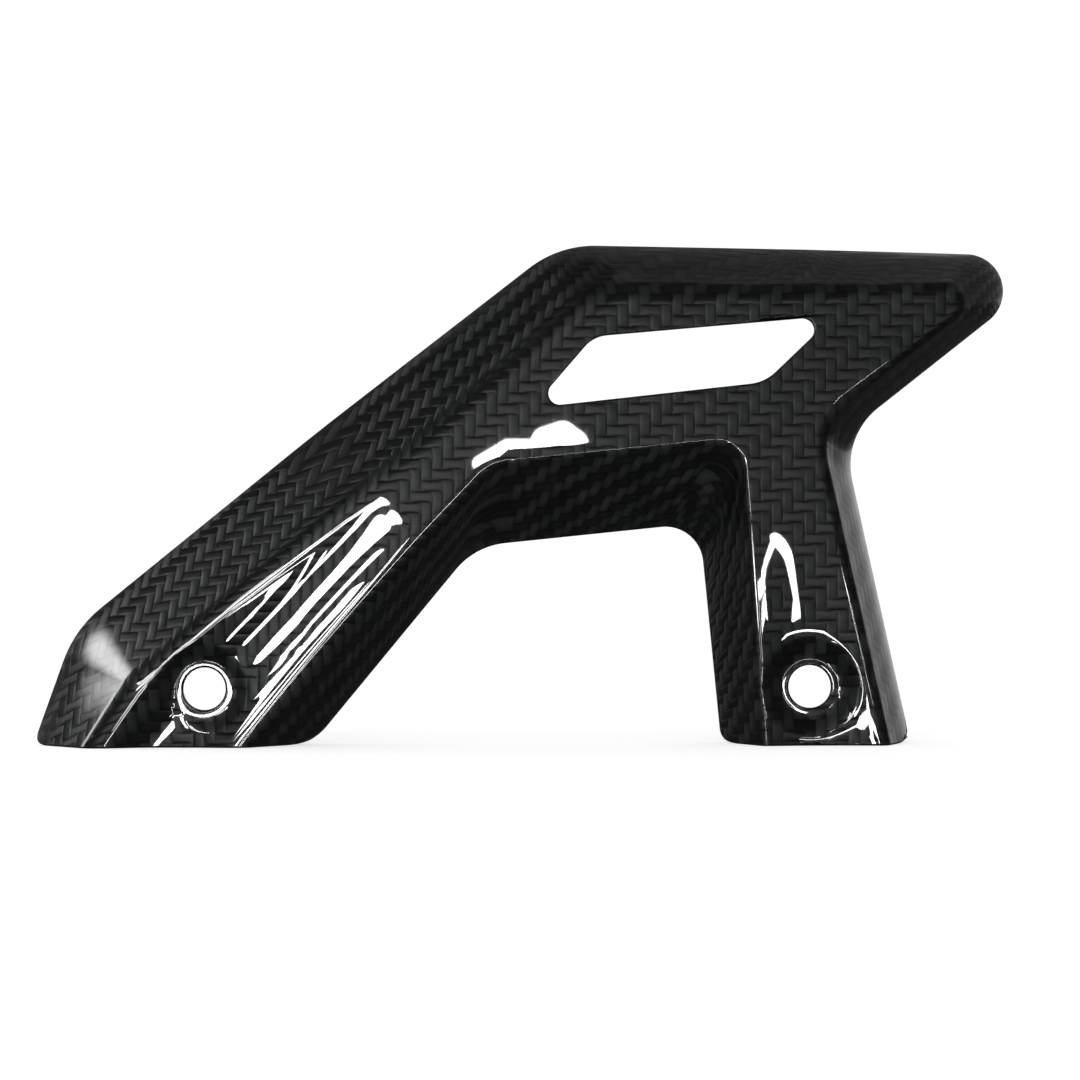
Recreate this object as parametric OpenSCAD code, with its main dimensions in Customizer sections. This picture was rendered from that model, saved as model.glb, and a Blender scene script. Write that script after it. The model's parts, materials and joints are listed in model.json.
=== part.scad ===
// Motorcycle chain guard, one carbon fibre moulding.
// A thin shell with a raised outer face and sloping flanges all round. A long slanted leg and a short
// upright leg stand on one trimmed foot line, a bridge joins them over an open arch, and a nose runs
// out past the short leg. The outer face looks towards -Y, +Z is up and +X runs from the long leg to
// the short leg. The origin is on the axis of the long leg's bolt hole, on the back of its seat.

/* [Bolt holes] */
// Distance between the two bolt holes
bolt_pitch = 111; // [106:0.5:116]
// Diameter of each bolt hole
bolt_hole_d = 7.8; // [5:0.1:8.4]
// Radius of the flat seat under each bolt head
seat_r = 5; // [4.6:0.1:5.4]
// Radius of the dish that sinks the long leg's seat
long_dish_r = 8.2; // [7.8:0.1:9]
// Radius of the dish that sinks the short leg's seat
short_dish_r = 9.4; // [9.2:0.1:10]
// Depth of the short leg's seat below the outer face
seat_sink = 2.4; // [1.8:0.1:2.8]

/* [Laminate] */
// Thickness of the moulded wall
wall = 1.5; // [1:0.1:1.7]
// Height of the outer face above the plane of the free edges
depth = 15; // [13:0.5:18]
// How far each flange bulges out near its free edge
flange_bow = 0.5; // [0:0.1:0.8]
// Fall of the scoop along the long leg's face towards its foot, in degrees
long_scoop = 2.3; // [1.8:0.1:2.5]
// Fall of the scoop along the short leg's face towards its foot, in degrees
short_scoop = 1.6; // [1:0.1:2]

/* [Feet] */
// Distance of the trimmed foot line below the bolt holes
foot_drop = 10.8; // [10:0.2:14]
// Long foot, from its bolt axis out to the free edge
long_foot_out = 33.3; // [31:0.1:36]
// Long foot, from its bolt axis to the free edge on the arch side
long_foot_in = 19.2; // [18:0.1:22]
// Short foot, from its bolt axis to the free edge on the arch side
short_foot_in = 15.8; // [15:0.1:18]
// Short foot, from its bolt axis out to the free edge
short_foot_out = 19.7; // [19:0.1:22]

/* [Outline] */
// Lean of the long foot's outer edge, degrees from level
shin_angle = 70.2; // [66:0.2:74]
// Height of the knee, where that edge meets the brow, above the foot line
knee_height = 21.6; // [19:0.1:25]
// Slope of the long upper edge, the brow, in degrees
brow_angle = 38.2; // [37:0.1:39.5]
// How far the brow bows out from a straight line
brow_bow = 0.7; // [0.3:0.1:1.5]
// Height of the top edge above the foot line, over the short leg's hole
top_height = 91.8; // [89:0.1:95]
// Fall of the top edge towards the nose, in degrees
top_fall = 1.6; // [0.8:0.1:2.4]
// How far the top edge bows out from a straight line
top_bow = 0.25; // [0.1:0.05:0.6]
// Height of the armpit, where the nose meets the short leg, above the foot line
armpit_height = 57; // [55:0.5:60]
// Slope of the nose's lower edge, in degrees
nose_angle = 38.1; // [36:0.1:40]
// Lean of the short leg's outer edge from upright, in degrees
leg_out_angle = 12.25; // [10:0.25:14]
// Lean of the short leg's arch side from upright, in degrees
leg_in_angle = 5.5; // [4:0.25:7]
// Height of the arch at its corner by the short leg, above the foot line
arch_height = 40.7; // [38:0.1:43]
// Slope of the bridge's lower edge, in degrees
bridge_angle = 5.7; // [4:0.1:7]
// Slope of the long leg's arch side, in degrees
leg_angle = 50.3; // [48:0.1:52]

/* [Corner radii] */
// Free edge at the knee
knee_r = 23; // [18:1:28]
// Free edge at the peak, where the brow meets the top
peak_r = 20; // [14:1:24]
// Free edge round the tip of the nose
nose_r = 7; // [6:0.5:8]
// Free edge in the armpit
armpit_r = 13.5; // [12:0.5:16]
// Free edge in the arch's corner by the short leg
arch_r = 7; // [6:0.5:9]
// Free edge where the bridge meets the long leg
elbow_r = 13.7; // [12:0.1:16]
// Rounding of the long foot's outer corner
toe_r = 2.1; // [1:0.1:3]
// Rounding of the long foot's corner on the arch side
heel_r = 8.5; // [6:0.5:10]
// Rounding of the short foot's corners
short_foot_r = 2.8; // [1:0.1:3.5]

/* [Fold line corners] */
// Inside the knee
knee_fold_r = 9; // [7:0.5:11]
// Inside the peak
peak_fold_r = 17; // [14:1:20]
// Inside the tip of the nose
nose_fold_r = 3.5; // [3:0.25:4]
// Inside the armpit
armpit_fold_r = 11; // [9:0.5:13]
// Where the bridge meets the long leg
elbow_fold_r = 9; // [7:0.5:11]
// In the arch's corner by the short leg
arch_fold_r = 5; // [4:0.5:6]

/* [Flange widths] */
// Seen from the front, at the long foot's outer corner
shin_flange = 11.1; // [10:0.1:12.5]
// At the knee
knee_flange = 14.8; // [13.5:0.1:16]
// Where the brow meets the top
brow_flange = 11.1; // [10:0.1:12.5]
// Under the top edge
top_flange = 8.6; // [7.5:0.1:9.5]
// Under the top edge at the nose
nose_flange = 6.4; // [5.8:0.1:7]
// Along the nose's lower edge
nose_under_flange = 4.4; // [4:0.1:5.2]
// Along the short leg's outer edge
leg_out_flange = 5.3; // [4.8:0.1:6]
// Along the short leg's arch side, at the foot
leg_in_flange = 6.9; // [6.4:0.1:7.6]
// Along the short leg's arch side, at the arch's corner
arch_flange = 8.9; // [8:0.1:9.8]
// Under the bridge
bridge_flange = 14.5; // [13:0.1:16]
// Along the long leg's arch side, at the elbow
elbow_flange = 6.4; // [6:0.1:7.4]
// Along the long leg's arch side, at the foot
heel_flange = 9; // [8.2:0.1:10]

/* [Folds] */
// Fold radius along the shin, the brow and the top
soft_fold_r = 5; // [4:0.25:6]
// Fold radius along the long leg's arch side
leg_fold_r = 4.5; // [3.5:0.25:5.5]
// Fold radius round the nose, the short leg and the bridge
crisp_fold_r = 2.4; // [2:0.1:3]
// How much further the softest fold reaches on to the face than down the flange
fold_ease = 1.6; // [1:0.1:1.8]

/* [Window] */
// From the long leg's bolt axis to the window's low corner
window_x = 60.3; // [58:0.1:62]
// Height of that corner above the foot line
window_height = 62; // [61:0.1:63.5]
// Length of the lower edge
window_low_len = 42.8; // [38:0.2:44]
// Slope of the lower edge, in degrees
window_low_angle = 6.1; // [5:0.1:7]
// Length of the slanted side towards the long leg
window_near_len = 17.2; // [15:0.1:18]
// Slope of that side, in degrees
window_near_angle = 49; // [46:0.5:52]
// Length of the slanted side towards the nose
window_far_len = 17.5; // [15:0.1:18]
// Slope of that side, in degrees
window_far_angle = 43.6; // [41:0.5:46]
// Radius of the two sharp tips
window_tip_r = 2.1; // [1.5:0.1:2.5]
// Radius of the low corner towards the nose
window_low_r = 8; // [5:0.5:9]
// Radius of the high corner towards the long leg
window_high_r = 6; // [4:0.5:7]
// Rounding of the rim
window_rim_r = 0.6; // [0.3:0.1:0.8]

/* [Hidden] */
carbon = [0.05, 0.05, 0.055];

// Everything is laid out flat first: x along the guard, y up it, and height towards the viewer.
// The plane of the free edges has height 0.
foot_y = -foot_drop;
trim = 5;
long_hole = [0, 0];
short_hole = [bolt_pitch, 0];
seat_height = depth - seat_sink;

function unit(v) = v / norm(v);
function heading(a) = [cos(a), sin(a)];
function left_of(v) = [-v[1], v[0]];
function cross2(a, b) = a[0] * b[1] - a[1] * b[0];
function lerp(a, b, t) = a * (1 - t) + b * t;
function smooth(t) = let (c = max(0, min(1, t))) (1 - cos(180 * c)) / 2;
// Where the line through p at angle a meets the line through q at angle b
function meet(p, a, q, b) =
    p + heading(a) * cross2(q - p, heading(b)) / cross2(heading(a), heading(b));
// The point of the line through p at angle a that lies at height y
function at_y(p, a, y) = p + heading(a) * (y - p[1]) / sin(a);
// The middle of a long edge, pushed out by its bow
function bowed(p, q, share, bow) = lerp(p, q, share) + left_of(unit(q - p)) * bow;

// Free edge, corner by corner: the outer run from the long foot over the nose to the short foot
toe = [-long_foot_out, foot_y];
knee = at_y(toe, shin_angle, foot_y + knee_height);
crest = [bolt_pitch, foot_y + top_height];
peak = meet(knee, brow_angle, crest, -top_fall);
outer_foot = [bolt_pitch + short_foot_out, foot_y];
armpit = at_y(outer_foot, 90 + leg_out_angle, foot_y + armpit_height);
nose = meet(armpit, nose_angle, crest, -top_fall);
brow = bowed(knee, peak, 0.5, brow_bow);
top = bowed(peak, nose, 0.48, top_bow);
// and the arch run, from the long foot under the bridge to the short foot
heel = [long_foot_in, foot_y];
inner_foot = [bolt_pitch - short_foot_in, foot_y];
arch = at_y(inner_foot, 90 + leg_in_angle, foot_y + arch_height);
elbow = meet(arch, bridge_angle, heel, leg_angle);

// Each corner: the free edge's point, its radius, the fold line's radius, and the flange's width
// before and after the corner
bow_r = 700;
mid_brow_flange = lerp(knee_flange, brow_flange, 0.2);
peak_flange = lerp(top_flange, nose_flange, -0.2);
armpit_flange = lerp(nose_under_flange, leg_out_flange, 0.9);
outer_run = [
    [toe, 0, 0, shin_flange, shin_flange],
    [knee, knee_r, knee_fold_r, knee_flange, knee_flange],
    [brow, bow_r, bow_r, mid_brow_flange, mid_brow_flange],
    [peak, peak_r, peak_fold_r, brow_flange, peak_flange],
    [top, bow_r, bow_r, top_flange, top_flange],
    [nose, nose_r, nose_fold_r, nose_flange, nose_under_flange],
    [armpit, armpit_r, armpit_fold_r, armpit_flange, leg_out_flange],
    [outer_foot, 0, 0, leg_out_flange, leg_out_flange]];
arch_run = [
    [heel, 0, 0, heel_flange, heel_flange],
    [elbow, elbow_r, elbow_fold_r, elbow_flange, bridge_flange],
    [arch, arch_r, arch_fold_r, bridge_flange, arch_flange],
    [inner_foot, 0, 0, leg_in_flange, leg_in_flange]];
// Segments along each edge, segments round each corner, and each edge's fold radius
outer_edges = [4, 8, 5, 5, 6, 4, 12];
outer_rounds = [0, 5, 4, 8, 4, 12, 8, 0];
outer_folds = [soft_fold_r, soft_fold_r, soft_fold_r, soft_fold_r, soft_fold_r,
               crisp_fold_r, crisp_fold_r];
arch_edges = [10, 9, 12];
arch_rounds = [0, 8, 8, 0];
arch_folds = [leg_fold_r, crisp_fold_r, crisp_fold_r];

// The fold line's corner lies inside the free edge's corner by the two flange widths
function fold_corner(run, i, side) =
    let (p = run[i][0],
         before = unit(i > 0 ? p - run[i - 1][0] : run[i + 1][0] - p),
         after = unit(i < len(run) - 1 ? run[i + 1][0] - p : p - run[i - 1][0]),
         n1 = left_of(before) * side, n2 = left_of(after) * side,
         w1 = run[i][3], w2 = run[i][4])
    i == 0 ? p + [w2 / n2[0], 0]
    : i == len(run) - 1 ? p + [w1 / n1[0], 0]
    : p + [w1 * n2[1] - w2 * n1[1], w2 * n1[0] - w1 * n2[0]] / cross2(n1, n2);
// The two ends run on past the foot line, to be trimmed there
function run_on(c) =
    let (n = len(c) - 1)
    [for (i = [0:n])
        i == 0 ? c[0] + (c[0] - c[1]) * trim / (c[1][1] - c[0][1])
        : i == n ? c[n] + (c[n] - c[n - 1]) * trim / (c[n - 1][1] - c[n][1])
        : c[i]];
function free_corners(run) = run_on([for (c = run) c[0]]);
function fold_corners(run, side) = run_on([for (i = [0:len(run) - 1]) fold_corner(run, i, side)]);

// A corner rounded by an arc that is tangent to both edges
function corner_arc(c, r, m, i) =
    i == 0 || i == len(c) - 1 ? [c[i]] :
    let (d1 = unit(c[i] - c[i - 1]), d2 = unit(c[i + 1] - c[i]),
         turn = atan2(cross2(d1, d2), d1 * d2),
         start = c[i] - d1 * r[i] * tan(abs(turn) / 2),
         centre = start + left_of(d1) * r[i] * sign(turn),
         arm = start - centre)
    [for (k = [0:m[i]])
        let (a = turn * k / m[i])
        centre + arm * cos(a) + left_of(arm) * sin(a)];
// Stations all along a rounded run
function stations(c, r, m, n) =
    let (arcs = [for (i = [0:len(c) - 1]) corner_arc(c, r, m, i)])
    [for (i = [0:len(c) - 1]) each concat(arcs[i],
        i == len(c) - 1 ? [] :
        let (p = arcs[i][len(arcs[i]) - 1], q = arcs[i + 1][0])
        [for (k = [1:1:n[i] - 1]) lerp(p, q, k / n[i])])];
// The fold radius at each of the same stations
function fold_radii(folds, m, n) =
    [for (i = [0:len(m) - 1]) each concat(
        i == 0 ? [folds[0]] : i == len(m) - 1 ? [folds[i - 1]]
        : [for (k = [0:m[i]]) lerp(folds[i - 1], folds[i], k / m[i])],
        i == len(m) - 1 ? [] : [for (k = [1:1:n[i] - 1]) folds[i]])];

// Height of the outer face: level, but each leg is scooped out towards its foot, most of all along its
// middle and not at all at its folds, and a dish round each bolt hole sinks to its flat seat
leg_axis = heading(44);
// Each scoop starts this far up its leg, and eases in over twice this half width
long_scoop_from = 50;
short_scoop_from = 33;
scoop_ease = 5;
// The long leg's scoop fades out over this distance from the fold along the shin
shin_fade = 10;
brow_fold = [fold_corner(outer_run, 1, -1), fold_corner(outer_run, 3, -1)];
shin_fold = [fold_corner(outer_run, 0, -1), fold_corner(outer_run, 1, -1)];
leg_fold = [fold_corner(arch_run, 0, 1), fold_corner(arch_run, 1, 1)];
short_out_fold = [fold_corner(outer_run, 6, -1), fold_corner(outer_run, 7, -1)];
short_in_fold = [fold_corner(arch_run, 2, 1), fold_corner(arch_run, 3, 1)];
// How far p lies to the left of a line
function beside(p, line) = cross2(unit(line[1] - line[0]), p - line[0]);
// From 0 at either fold to 1 midway between them
function trough(p, out_fold, in_fold) =
    let (a = -beside(p, out_fold), b = beside(p, in_fold))
    4 * a * b / pow(max(1, a + b), 2);
function fall(along, from, angle) =
    let (d = max(0, from + scoop_ease - along))
    tan(angle) * (d < 2 * scoop_ease ? d * d / (4 * scoop_ease) : d - scoop_ease);
function open_face(p) =
    depth
    - fall(p * leg_axis, long_scoop_from, long_scoop) * trough(p, brow_fold, leg_fold)
      * smooth(-beside(p, shin_fold) / shin_fade) * (p[0] < bolt_pitch / 2 ? 1 : 0)
    - fall(p[1], short_scoop_from, short_scoop) * trough(p, short_out_fold, short_in_fold)
      * (p[0] > bolt_pitch / 2 ? 1 : 0);
function dished(p, h, hole, r) =
    let (s = smooth((norm(p - hole) - seat_r) / (r - seat_r)))
    seat_height + (h - seat_height) * s;
function face_height(p) =
    dished(p, dished(p, open_face(p), long_hole, long_dish_r), short_hole, short_dish_r);
function face_point(p) = [p[0], p[1], face_height(p)];
function face_normal(p) =
    let (e = 0.02,
         gx = face_height(p + [e, 0]) - face_height(p - [e, 0]),
         gy = face_height(p + [0, e]) - face_height(p - [0, e]))
    unit([-gx, -gy, 2 * e]);

// A flange and its fold as a section from the free edge up to the face.
// side is 1 where the material lies to the left of the run, and -1 where it lies to the right.
flange_rows = 4;
fold_rows = 5;
function inward(line, i, side) =
    let (n = len(line) - 1)
    left_of(unit(line[min(n, i + 1)] - line[max(0, i - 1)])) * side;
function fold_reach(edge, fold, r) =
    r * tan(atan2(face_height(fold), norm(fold - edge)) / 2);
function eased(r) = lerp(1, fold_ease, (r - crisp_fold_r) / (soft_fold_r - crisp_fold_r));
function fold_end(edge, fold, r, in) = fold + in * fold_reach(edge, fold, r) * eased(r);
function section(edge, fold, r, in) =
    let (reach = fold_reach(edge, fold, r),
         end = fold_end(edge, fold, r, in),
         n = face_normal(end),
         crease = [fold[0], fold[1], face_height(end) + (n * [end[0] - fold[0], end[1] - fold[1], 0]) / n[2]],
         low = [edge[0], edge[1], 0],
         up = unit(crease - low),
         level = unit([up[0], up[1], 0]),
         out = [-up[2] * level[0], -up[2] * level[1], norm([up[0], up[1]])],
         start = crease - up * reach,
         in_face = unit([end[0], end[1], face_height(end)] - crease),
         w = cos(acos(up * in_face) / 2))
    concat(
        [for (k = [0:flange_rows])
            let (t = k / flange_rows)
            lerp(low, start, t) + out * flange_bow * 6.75 * t * (1 - t) * (1 - t)],
        [for (k = [1:fold_rows])
            let (t = k / fold_rows, b = 2 * w * t * (1 - t))
            k == fold_rows ? face_point(end)
            : (start * (1 - t) * (1 - t) + crease * b + face_point(end) * t * t)
              / ((1 - t) * (1 - t) + b + t * t)]);
function skin(run, m, n, folds, side) =
    let (edge = stations(free_corners(run), [for (c = run) c[1]], m, n),
         fold = stations(fold_corners(run, side), [for (c = run) c[2]], m, n),
         r = fold_radii(folds, m, n))
    [for (i = [0:len(edge) - 1]) section(edge[i], fold[i], r[i], inward(fold, i, side))];
outer_skin = skin(outer_run, outer_rounds, outer_edges, outer_folds, -1);
arch_skin = skin(arch_run, arch_rounds, arch_edges, arch_folds, 1);
last_row = flange_rows + fold_rows;

// The wall's inner side: every point of a skin moved in along its normal
function flat(p) = [p[0], p[1]];
function skin_normal(s, i, j, side) =
    let (a = s[min(len(s) - 1, i + 1)][j] - s[max(0, i - 1)][j],
         b = s[i][min(last_row, j + 1)] - s[i][max(0, j - 1)])
    j == last_row ? face_normal(flat(s[i][j])) : unit(cross(a, b)) * side;
function inner_point(s, i, j, side) =
    let (p = s[i][j] - skin_normal(s, i, j, side) * wall,
         along = unit(s[i][1] - s[i][0]))
    j == 0 ? p - along * p[2] / along[2] : p;
function inner_skin(s, side) =
    [for (i = [0:len(s) - 1]) [for (j = [0:last_row]) inner_point(s, i, j, side)]];
function inner_face_point(p) = face_point(p) - face_normal(p) * wall;

// The face is filled by patches between stations of the two runs
outer_line = [for (s = outer_skin) flat(s[last_row])];
arch_line = [for (s = arch_skin) flat(s[last_row])];
across = 14;
knee_at = 14;
heel_at = 4;
bridge_at = heel_at + 27;
crest_at = knee_at + 27;
nose_at = crest_at + 14;
armpit_at = nose_at + 14;
short_at = 8;
function cross_line(p, q) = [for (k = [0:across]) lerp(p, q, k / across)];
// The leg and the bridge: straight lines from the outer run to the arch run
bridge_patch = [for (k = [0:bridge_at - heel_at])
    cross_line(outer_line[knee_at + k], arch_line[heel_at + k])];
// The nose: a four-sided patch blended from its four borders
crest_line = cross_line(outer_line[crest_at], arch_line[bridge_at]);
armpit_line = cross_line(arch_line[bridge_at], outer_line[armpit_at]);
function nose_point(u, v) =
    let (s = u / across, t = v / across,
         low = armpit_line[u], high = outer_line[crest_at + u],
         near = crest_line[across - v], far = outer_line[armpit_at - v])
    lerp(low, high, t) + lerp(near, far, s)
    - lerp(lerp(armpit_line[0], armpit_line[across], s),
           lerp(outer_line[crest_at], outer_line[nose_at], s), t);
nose_patch = [for (u = [0:across]) [for (v = [0:across])
    v == 0 ? armpit_line[u] : v == across ? outer_line[crest_at + u]
    : u == 0 ? crest_line[across - v] : u == across ? outer_line[armpit_at - v]
    : nose_point(u, v)]];
// The short leg, down to its foot patch
short_patch = [for (k = [0:short_at])
    cross_line(arch_line[bridge_at + k], outer_line[armpit_at + k])];
// Each foot: rings on the seat and its dish that run out to the patch's own border. The rings' radii
// on the seat are in millimetres, and those on the dish are shares of the way out to its brim.
seat_rings = [1.5, 3, seat_r];
dish_rings = [0.15, 0.32, 0.5, 0.68, 0.85, 1];
brim_limit = 0.85;
function foot_patch(border, hole, dish) =
    [for (p = border)
        let (away = unit(p - hole), reach = norm(p - hole),
             brim = min(dish, lerp(seat_r, reach, brim_limit)))
        concat([for (r = seat_rings) hole + away * r],
               [for (t = dish_rings) hole + away * lerp(seat_r, brim, t)],
               [p])];
function span(list, a, b) = [for (i = [a:a < b ? 1 : -1:b]) list[i]];
outer_end = len(outer_line) - 1;
arch_end = len(arch_line) - 1;
long_border = concat(
    span(outer_line, 0, knee_at - 1),
    span(cross_line(outer_line[knee_at], arch_line[heel_at]), 0, across - 1),
    span(arch_line, heel_at, 1),
    cross_line(arch_line[0], outer_line[0]));
short_border = concat(
    span(arch_line, arch_end, bridge_at + short_at + 1),
    span(cross_line(arch_line[bridge_at + short_at], outer_line[armpit_at + short_at]), 0, across - 1),
    span(outer_line, armpit_at + short_at, outer_end - 1),
    cross_line(outer_line[outer_end], arch_line[arch_end]));
long_patch = foot_patch(long_border, long_hole, long_dish_r);
short_foot_patch = foot_patch(short_border, short_hole, short_dish_r);

// Grids of points become triangles. A grid that is listed with true has its faces turned over.
function lifted(grid) = [for (row = grid) [for (p = row) face_point(p)]];
function sunk(grid) = [for (row = grid) [for (p = row) inner_face_point(p)]];
outer_inner = inner_skin(outer_skin, -1);
arch_inner = inner_skin(arch_skin, 1);
function rim(a, b) = [for (i = [0:len(a) - 1]) [a[i], b[i]]];
function column(s, j) = [for (row = s) row[j]];
function foot_cap(i, j) =
    let (line = [span(cross_line(outer_line[i], arch_line[j]), 1, across - 1)])
    rim(concat(outer_skin[i], lifted(line)[0], span(arch_skin[j], last_row, 0)),
        concat(outer_inner[i], sunk(line)[0], span(arch_inner[j], last_row, 0)));
face_patches = [
    [bridge_patch, true], [nose_patch, false], [short_patch, false],
    [long_patch, false], [short_foot_patch, false]];
grids = concat(
    [[outer_skin, true], [outer_inner, false], [arch_skin, false], [arch_inner, true]],
    [for (f = face_patches) [lifted(f[0]), f[1]]],
    [for (f = face_patches) [sunk(f[0]), !f[1]]],
    [[rim(column(outer_skin, 0), column(outer_inner, 0)), false],
     [rim(column(arch_skin, 0), column(arch_inner, 0)), true],
     [foot_cap(0, 0), true], [foot_cap(outer_end, arch_end), false]],
    [for (f = [long_patch, short_foot_patch])
        [rim(column(lifted(f), 0), column(sunk(f), 0)), true]]);

module mesh(grids) {
    sizes = [for (g = grids) len(g[0]) * len(g[0][0])];
    starts = [for (i = 0, at = 0; i < len(sizes); at = at + sizes[i], i = i + 1) at];
    points = [for (g = grids) each [for (row = g[0]) each row]];
    faces = [for (k = [0:len(grids) - 1])
        let (g = grids[k][0], turned = grids[k][1], w = len(g[0]))
        each [for (i = [0:len(g) - 2]) each [for (j = [0:w - 2])
            let (a = starts[k] + i * w + j, b = a + 1, c = a + w + 1, d = a + w)
            each (turned ? [[a, c, b], [a, d, c]] : [[a, b, c], [a, c, d]])]]];
    polyhedron(points, faces);
}

// The feet are trimmed level, and their free corners are rounded off
clear = 20;
// p is the corner, and a and b are the headings of the two edges that leave it
module corner_cut(p, a, b, r) {
    half = abs(b - a) / 2;
    reach = r / tan(half);
    centre = p + heading((a + b) / 2) * r / sin(half);
    linear_extrude(2 * clear, center = true)
        difference() {
            polygon([p + heading(a) * reach, p - heading((a + b) / 2), p + heading(b) * reach, centre]);
            translate(centre) circle(r, $fn = 96);
        }
}
module foot_trim() {
    foot_span = bolt_pitch + long_foot_out + short_foot_out;
    translate([-long_foot_out - clear, foot_y - clear, -clear])
        cube([foot_span + 2 * clear, clear, 3 * clear]);
    corner_cut(toe, 0, shin_angle, toe_r);
    corner_cut(heel, leg_angle, 180, heel_r);
    corner_cut(inner_foot, 0, 90 + leg_in_angle, short_foot_r);
    corner_cut(outer_foot, 90 + leg_out_angle, 180, short_foot_r);
}

// The window: a slanted four-cornered opening whose outer rim is rolled over
window_low = [window_x, foot_y + window_height];
window_far_low = window_low + heading(window_low_angle) * window_low_len;
window_high = window_low + heading(window_near_angle) * window_near_len;
window_far_high = window_far_low + heading(window_far_angle) * window_far_len;
window_corners = [window_low, window_far_low, window_far_high, window_high];
window_radii = [window_tip_r, window_low_r, window_tip_r, window_high_r];
function offset_corner(c, i, d) =
    let (n = len(c), d1 = unit(c[i] - c[(i + n - 1) % n]), d2 = unit(c[(i + 1) % n] - c[i]))
    c[i] + (d1 - d2) * d / cross2(d1, d2);
function window_line(d) =
    let (c = [for (i = [0:3]) offset_corner(window_corners, i, d)])
    [for (i = [0:3])
        each corner_arc([c[(i + 3) % 4], c[i], c[(i + 1) % 4]], [0, window_radii[i] + d, 0], [0, 8, 0], 1)];
module window_cut() {
    rim_steps = 3;
    rim_end = 72;
    // Each level is a height and how far the window has opened out there
    levels = concat(
        [[-1, 0]],
        [for (k = [0:rim_steps])
            let (a = rim_end * k / rim_steps)
            [depth - window_rim_r * (1 - sin(a)), window_rim_r * (1 - cos(a))]],
        [[depth + 1, window_rim_r * (1 - cos(rim_end)) + (1 + window_rim_r) * tan(rim_end)]]);
    loops = [for (l = levels) [for (p = window_line(l[1])) [p[0], p[1], l[0]]]];
    n = len(loops[0]);
    faces = concat(
        [[for (j = [0:n - 1]) j]],
        [for (i = [0:len(loops) - 2]) each [for (j = [0:n - 1])
            let (a = i * n + j, b = i * n + (j + 1) % n)
            each [[a, a + n, b], [b, a + n, b + n]]]],
        [[for (j = [n - 1:-1:0]) (len(loops) - 1) * n + j]]);
    polyhedron([for (l = loops) each l], faces);
}

module bolt_hole(p) {
    translate([p[0], p[1], -1]) cylinder(h = depth + 2, d = bolt_hole_d, $fn = 64);
}

module guard_shell() {
    color(carbon)
        translate([0, seat_height - wall, 0]) rotate([90, 0, 0])
            difference() {
                mesh(grids);
                foot_trim();
                window_cut();
                bolt_hole(long_hole);
                bolt_hole(short_hole);
            }
}

guard_shell();
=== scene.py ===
# %% [markdown]
# # A carbon fibre chain guard
# The real guard is one moulding. Twill cloth is laid in an open mould, pressed and cured, trimmed, and
# sprayed with a gloss clear coat. Here the same shell is laid up again, finer than the frame's solid, so
# that the long reflections in its folds run smooth. This cell loads the frame.

# %% Load the frame
import json
import math

import bmesh
import bpy
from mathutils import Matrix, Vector


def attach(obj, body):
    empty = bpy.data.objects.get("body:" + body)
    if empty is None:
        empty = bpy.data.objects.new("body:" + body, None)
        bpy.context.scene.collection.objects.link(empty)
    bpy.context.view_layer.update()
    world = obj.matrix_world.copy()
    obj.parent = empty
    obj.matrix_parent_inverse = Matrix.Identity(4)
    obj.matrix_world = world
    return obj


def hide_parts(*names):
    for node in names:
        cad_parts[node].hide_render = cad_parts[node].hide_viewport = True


bpy.ops.wm.read_factory_settings(use_empty=True)
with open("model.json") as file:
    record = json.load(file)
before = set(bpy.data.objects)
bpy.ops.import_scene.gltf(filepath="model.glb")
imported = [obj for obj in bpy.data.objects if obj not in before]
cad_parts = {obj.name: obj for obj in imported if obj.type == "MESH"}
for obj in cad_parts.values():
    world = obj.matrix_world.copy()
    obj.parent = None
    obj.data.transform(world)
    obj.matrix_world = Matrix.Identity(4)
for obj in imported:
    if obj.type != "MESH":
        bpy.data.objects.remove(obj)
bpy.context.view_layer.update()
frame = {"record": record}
holes = [m for m in frame["record"]["mounts"] if m["kind"] == "bore"]
MM = 0.001

# %% [markdown]
# ## The flat pattern
# A moulder starts from a flat pattern of the guard. x runs along the guard from the long leg's bolt
# hole, y runs up it, and all lengths are in millimetres. A few small helpers turn angles into headings
# and find where two edges meet.

# %% Pattern helpers
FOOT_Y = -10.8
DEPTH = 15.0
WALL = 1.5
PITCH = holes[1]["pos_m"][0] / MM
HOLE_R = holes[0]["dims"]["r_mm"]
SEAT_DROP = 2.4
SEAT_HEIGHT = DEPTH - SEAT_DROP


def heading(angle):
    """The direction that lies at an angle, in degrees, from the foot line."""
    return Vector((math.cos(math.radians(angle)), math.sin(math.radians(angle))))


def left_of(v):
    return Vector((-v[1], v[0]))


def cross2(a, b):
    """The signed area between two flat directions."""
    return a[0] * b[1] - a[1] * b[0]


def smooth(t):
    """From 0 to 1 with a soft start and end."""
    return (1 - math.cos(math.pi * max(0, min(1, t)))) / 2


def meet(p, a, q, b):
    """Where an edge through p at the angle a meets an edge through q at the angle b."""
    return p + heading(a) * (cross2(q - p, heading(b)) / cross2(heading(a), heading(b)))


def at_height(p, angle, y):
    """Where an edge through p at an angle reaches the height y."""
    return p + heading(angle) * ((y - p[1]) / math.sin(math.radians(angle)))


def bowed(p, q, share, bow):
    """A point on the way from p to q, set out to the left by the bow."""
    return p.lerp(q, share) + left_of((q - p).normalized()) * bow


# %% [markdown]
# ## The free edge and the folds
# The free edge is the trimmed edge that sits against the swingarm. It is given corner by corner, in two
# runs: one over the top from foot to foot, and one round the arch. Each corner carries the radius of the
# free edge, the radius of the fold line, and the width of the flange before and after it. The guard's
# proportions come from these few lengths and angles, as they would from a tape measure and an angle gauge.

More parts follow.
